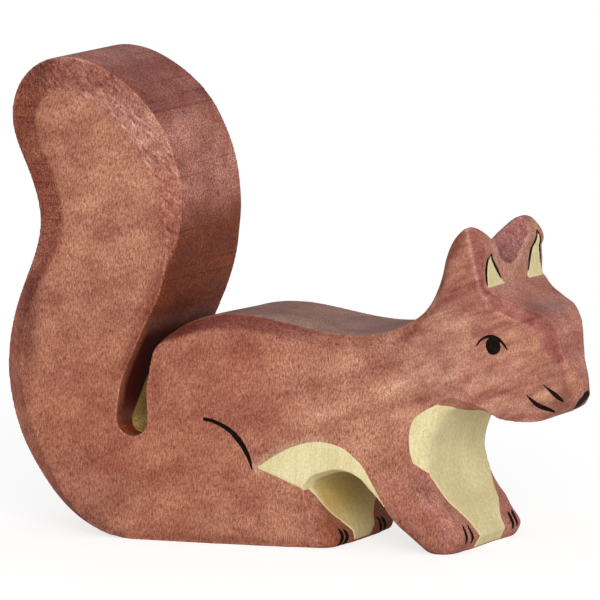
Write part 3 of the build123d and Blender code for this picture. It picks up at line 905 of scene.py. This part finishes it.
class Film:
    """A coat of paint: patches of a thin closed sheet that follow the wood."""

    def __init__(self, surface, shaded=0.0):
        self.surface = surface
        self.shaded = shaded
        self.points = []
        self.faces = []

    def foot(self, place, toward):
        """Return the spot on the wood along a direction, or else the nearest one, and its normal."""
        if toward is not None:
            spot, normal, _, _ = self.surface.ray_cast(place, Vector(toward), cast_reach)
            if spot is not None:
                return spot, normal
        spot, normal, _, _ = self.surface.find_nearest(place)
        return spot, normal

    def lay(self, grid, toward=None, lift=film_lift):
        """Lay a grid of points on the wood, along a direction or by the shortest way."""
        rows, columns = grid.shape[:2]
        last_row = rows - 1
        last_column = columns - 1
        under = rows * columns
        start = len(self.points)
        roots = []
        for i in range(rows):
            for j in range(columns):
                spot, normal = self.foot(Vector(grid[i, j]), toward)
                rim = i in (0, last_row) or j in (0, last_column)
                self.points.append(spot + normal * (-rim_sink if rim else lift))
                roots.append(spot - normal * film_root)
        self.points.extend(roots)

        def corner(i, j, below=0):
            return start + i * columns + j + below * under

        for i in range(last_row):
            for j in range(last_column):
                quad = (corner(i, j), corner(i + 1, j), corner(i + 1, j + 1), corner(i, j + 1))
                self.faces.append(quad)
                self.faces.append(tuple(k + under for k in reversed(quad)))
        border = [(i, 0) for i in range(last_row)]
        border += [(last_row, j) for j in range(last_column)]
        border += [(i, last_column) for i in range(last_row, 0, -1)]
        border += [(0, j) for j in range(last_column, 0, -1)]
        for here, there in zip(border, border[1:] + border[:1]):
            self.faces.append((corner(*here), corner(*here, 1), corner(*there, 1), corner(*there)))

    def sheet(self, rails, steps, toward=None, lift=film_lift):
        """Lay a sheet that spans a row of rails, each an array of points, with steps between them."""
        bands = [rails[0][None]]
        for first, last, count in zip(rails, rails[1:], steps):
            parts = np.linspace(0, 1, count + 1)[1:, None, None]
            bands.append(first[None] + (last - first)[None] * parts)
        self.lay(np.concatenate(bands), toward, lift)

    def stroke(self, centre, widths, place, toward, seed=0, count=40):
        """Lay one brush stroke along a curve drawn in a plane; place turns its points into space."""
        line = curve_through(centre, count)
        share = np.linspace(0, 1, count)
        half = 0.5 * np.interp(share, np.linspace(0, 1, len(widths)), widths)
        along = np.gradient(line, axis=0)
        along /= np.linalg.norm(along, axis=1)[:, None]
        aside = np.stack([-along[:, 1], along[:, 0]], axis=1)
        run = np.r_[0, np.cumsum(np.linalg.norm(np.diff(line, axis=0), axis=1))]
        rows = []
        for i in range(count):
            left = max(half[i] + wobble(run[i], seed), least_half_width)
            right = max(half[i] + wobble(run[i], seed + other_edge), least_half_width)
            offsets = np.linspace(-right, left, stroke_columns)
            rows.append([place(*(line[i] + aside[i] * offset)) for offset in offsets])
        self.lay(np.array(rows), toward)

    @staticmethod
    def depth_of(point):
        """Return how far a point lies in the brown shade under the arch, from 0 to 1."""
        under = smoothstep(12.4, 7.0, abs(point[1])) * smoothstep(11.9, 8.8, point[2])
        return float(under * (0.35 + 0.65 * smoothstep(2, 7, point[2])))

    def finish(self, name, material):
        """Turn the patches into one piece."""
        mesh = bpy.data.meshes.new(name)
        mesh.from_pydata([Vector(p) * MM for p in self.points], [], self.faces)
        mesh.polygons.foreach_set("use_smooth", np.ones(len(mesh.polygons), dtype=bool))
        mesh.materials.append(material)
        # how far each point lies in the painted shade under the arch
        arch_shade = mesh.attributes.new("arch_shade", "FLOAT", "POINT")
        arch_shade.data.foreach_set("value", [self.shaded * self.depth_of(p) for p in self.points])
        mesh.validate()
        piece = link(bpy.data.objects.new(name, mesh))
        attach(piece, "root")
        return piece


def at_depth(curve, depth):
    """Turn points of (forward, up) into space at one depth."""
    return np.stack([curve[:, 0], np.full(len(curve), depth), curve[:, 1]], axis=1)


def ahead_of(start, points, count):
    """Return a curve through points of (across, up), on a plane at a start ahead of the wood."""
    return np.c_[np.full(count, start), curve_through(points, count)]


def on_front(start):
    """Return a placing of (across, up) marks that are cast backward from a start ahead of them."""
    return lambda across, up: (start, across, up)


def on_side(hand):
    """Return a placing of (forward, up) marks that are cast inward from one side."""
    return lambda forward, up: (forward, hand * 2 * half_thickness, up)


def paint_belly(surface, coat):
    """Cream over the arch: both flanks, the roof, and the front of the hind foot."""
    film = Film(surface, shaded=1.0)
    arch = curve_through(belly_arch, arch_points)
    fold = arch + 0.4 * (curve_through(belly_top[2:], len(arch)) - arch)
    rails = [
        at_depth(fold, -half_thickness), at_depth(arch, -half_thickness),
        at_depth(arch, -rail_half_width), at_depth(arch, rail_half_width),
        at_depth(arch, half_thickness), at_depth(fold, half_thickness),
    ]
    film.sheet(rails, steps=(8, 16, 24, 16, 8))
    lower = np.vstack([curve_through(belly_haunch, haunch_points)[:-1], arch])
    upper = curve_through(belly_top, len(lower))
    for depth in (-half_thickness, half_thickness):
        film.sheet([at_depth(upper, depth), at_depth(lower, depth)], steps=(24,), lift=2 * film_lift)
    sides = [ahead_of(hind_front, side, belly_front_points) for side in (belly_front_near, belly_front_far)]
    film.sheet(sides, steps=(40,), toward=backward_cast, lift=3 * film_lift)
    piece = film.finish("belly_cream", coat)
    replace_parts(piece, "belly_paint")


def paint_chest(surface, coat):
    """Cream on the chest: both sides of it and the wall between the front legs."""
    film = Film(surface)
    edge = curve_through(chest_edge, chest_points)
    wall = curve_through(chest_wall, len(edge))
    share = np.linspace(0, 1, len(edge))
    outward = 2 * np.clip(4 * np.minimum(share, 1 - share), 0, 1)[:, None]
    rails = [at_depth(wall, -rail_half_width), at_depth(wall, rail_half_width)]
    for hand in (-1, 1):
        flank = at_depth(edge, hand * half_thickness)
        corner = 0.5 * (flank + at_depth(wall, hand * rail_half_width)) + outward * (1, hand, 0)
        rails = [flank, corner, *rails] if hand < 0 else [*rails, corner, flank]
    film.sheet(rails, steps=(24, 24, 40, 24, 24))
    sides = [ahead_of(chest_front, side, chest_points) for side in (chest_front_near, chest_front_far)]
    film.sheet(sides, steps=(44,), toward=backward_cast, lift=2 * film_lift)
    piece = film.finish("chest_cream", coat)
    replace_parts(piece, "chest_paint")


def paint_ear(surface, cream_coat, black_coat, side):
    """A cream triangle in the ear, and the black strokes round it."""
    marks = ear_marks[side]
    film = Film(surface)
    edges = [ahead_of(ear_front, marks[edge], ear_points) for edge in ("outer", "inner")]
    film.sheet(edges, steps=(16,), toward=backward_cast)
    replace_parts(film.finish(f"ear_cream_{side}", cream_coat), f"ear_paint_{side}")
    film = Film(surface)
    for k, line in enumerate(marks["strokes"]):
        film.stroke(line, ear_stroke_widths, on_front(ear_front), backward_cast, seed=3 + k)
    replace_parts(film.finish(f"ear_line_{side}", black_coat), f"ear_outline_{side}")


def paint_eye(surface, coat, side, hand):
    """A round pupil under a curved lid."""
    film = Film(surface)
    place = on_side(hand)
    inward = (0, -hand, 0)
    round_widths = [2 * pupil_radius * math.sqrt(1 - t * t) for t in np.linspace(-1, 1, 21)]
    film.stroke(pupil_line, round_widths, place, inward, seed=8)
    film.stroke(lid_line, lid_widths, place, inward, seed=9)
    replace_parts(film.finish(f"eye_line_{side}", coat), f"eye_{side}")


def paint_whiskers(surface, coat, side, hand):
    """Two strokes beside the mouth."""
    film = Film(surface)
    place = on_side(hand)
    inward = (0, -hand, 0)
    film.stroke(upper_whisker, upper_whisker_widths, place, inward, seed=11)
    film.stroke(lower_whisker, lower_whisker_widths, place, inward, seed=12)
    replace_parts(film.finish(f"whisker_{side}", coat), f"whisker_lines_{side}")


def paint_haunch(surface, coat, side, hand):
    """The stroke over the hind leg."""
    film = Film(surface)
    film.stroke(haunch_line, haunch_widths, on_side(hand), (0, -hand, 0), seed=13, count=60)
    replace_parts(film.finish(f"haunch_{side}", coat), f"haunch_line_{side}")


def paint_claws(surface, coat, side):
    """Two short strokes on the hind foot, and two on the front one."""
    for node_name, claws, start, width in (
        ("claws_hind", hind_claws, hind_front, hind_claw_width),
        ("claws_front", front_claws, front_leg_front, front_claw_width),
    ):
        film = Film(surface)
        for k, claw in enumerate(claws[side]):
            film.stroke(claw, width * claw_taper, on_front(start), backward_cast, seed=20 + k, count=24)
        piece = film.finish(f"{node_name}_ink_{side}", coat)
        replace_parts(piece, f"{node_name}_{side}")


def paint_nose(surface, coat):
    """The black tip of the nose."""
    film = Film(surface)
    film.stroke(nose_line, nose_widths, on_front(nose_front), backward_cast, seed=30)
    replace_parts(film.finish("nose_ink", coat), "nose_paint")


def add_floor():
    """Lay the floor under the figure."""
    h = floor_half_metres
    mesh = bpy.data.meshes.new("floor")
    mesh.from_pydata([(-h, -h, 0), (h, -h, 0), (h, h, 0), (-h, h, 0)], [], [(0, 1, 2, 3)])
    mesh.materials.append(floor_material())
    link(bpy.data.objects.new("floor", mesh))


scene = bpy.context.scene
scene.view_settings.view_transform = "Standard"
add_camera()
add_light()

wood = carve_wood()
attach(wood, "root")
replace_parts(wood, "wood_body")

wood_points = [v.co / MM for v in wood.data.vertices]
wood_faces = [tuple(p.vertices) for p in wood.data.polygons]
wood_surface = BVHTree.FromPolygons(wood_points, wood_faces)
cream_coat = cream_paint()
black_coat = black_paint()
paint_belly(wood_surface, cream_coat)
paint_chest(wood_surface, cream_coat)
hands = {"right": -1, "left": 1}
for side in hands:
    paint_ear(wood_surface, cream_coat, black_coat, side)
for side, hand in hands.items():
    paint_eye(wood_surface, black_coat, side, hand)
    paint_whiskers(wood_surface, black_coat, side, hand)
    paint_haunch(wood_surface, black_coat, side, hand)
    paint_claws(wood_surface, black_coat, side)
paint_nose(wood_surface, black_coat)
add_floor()
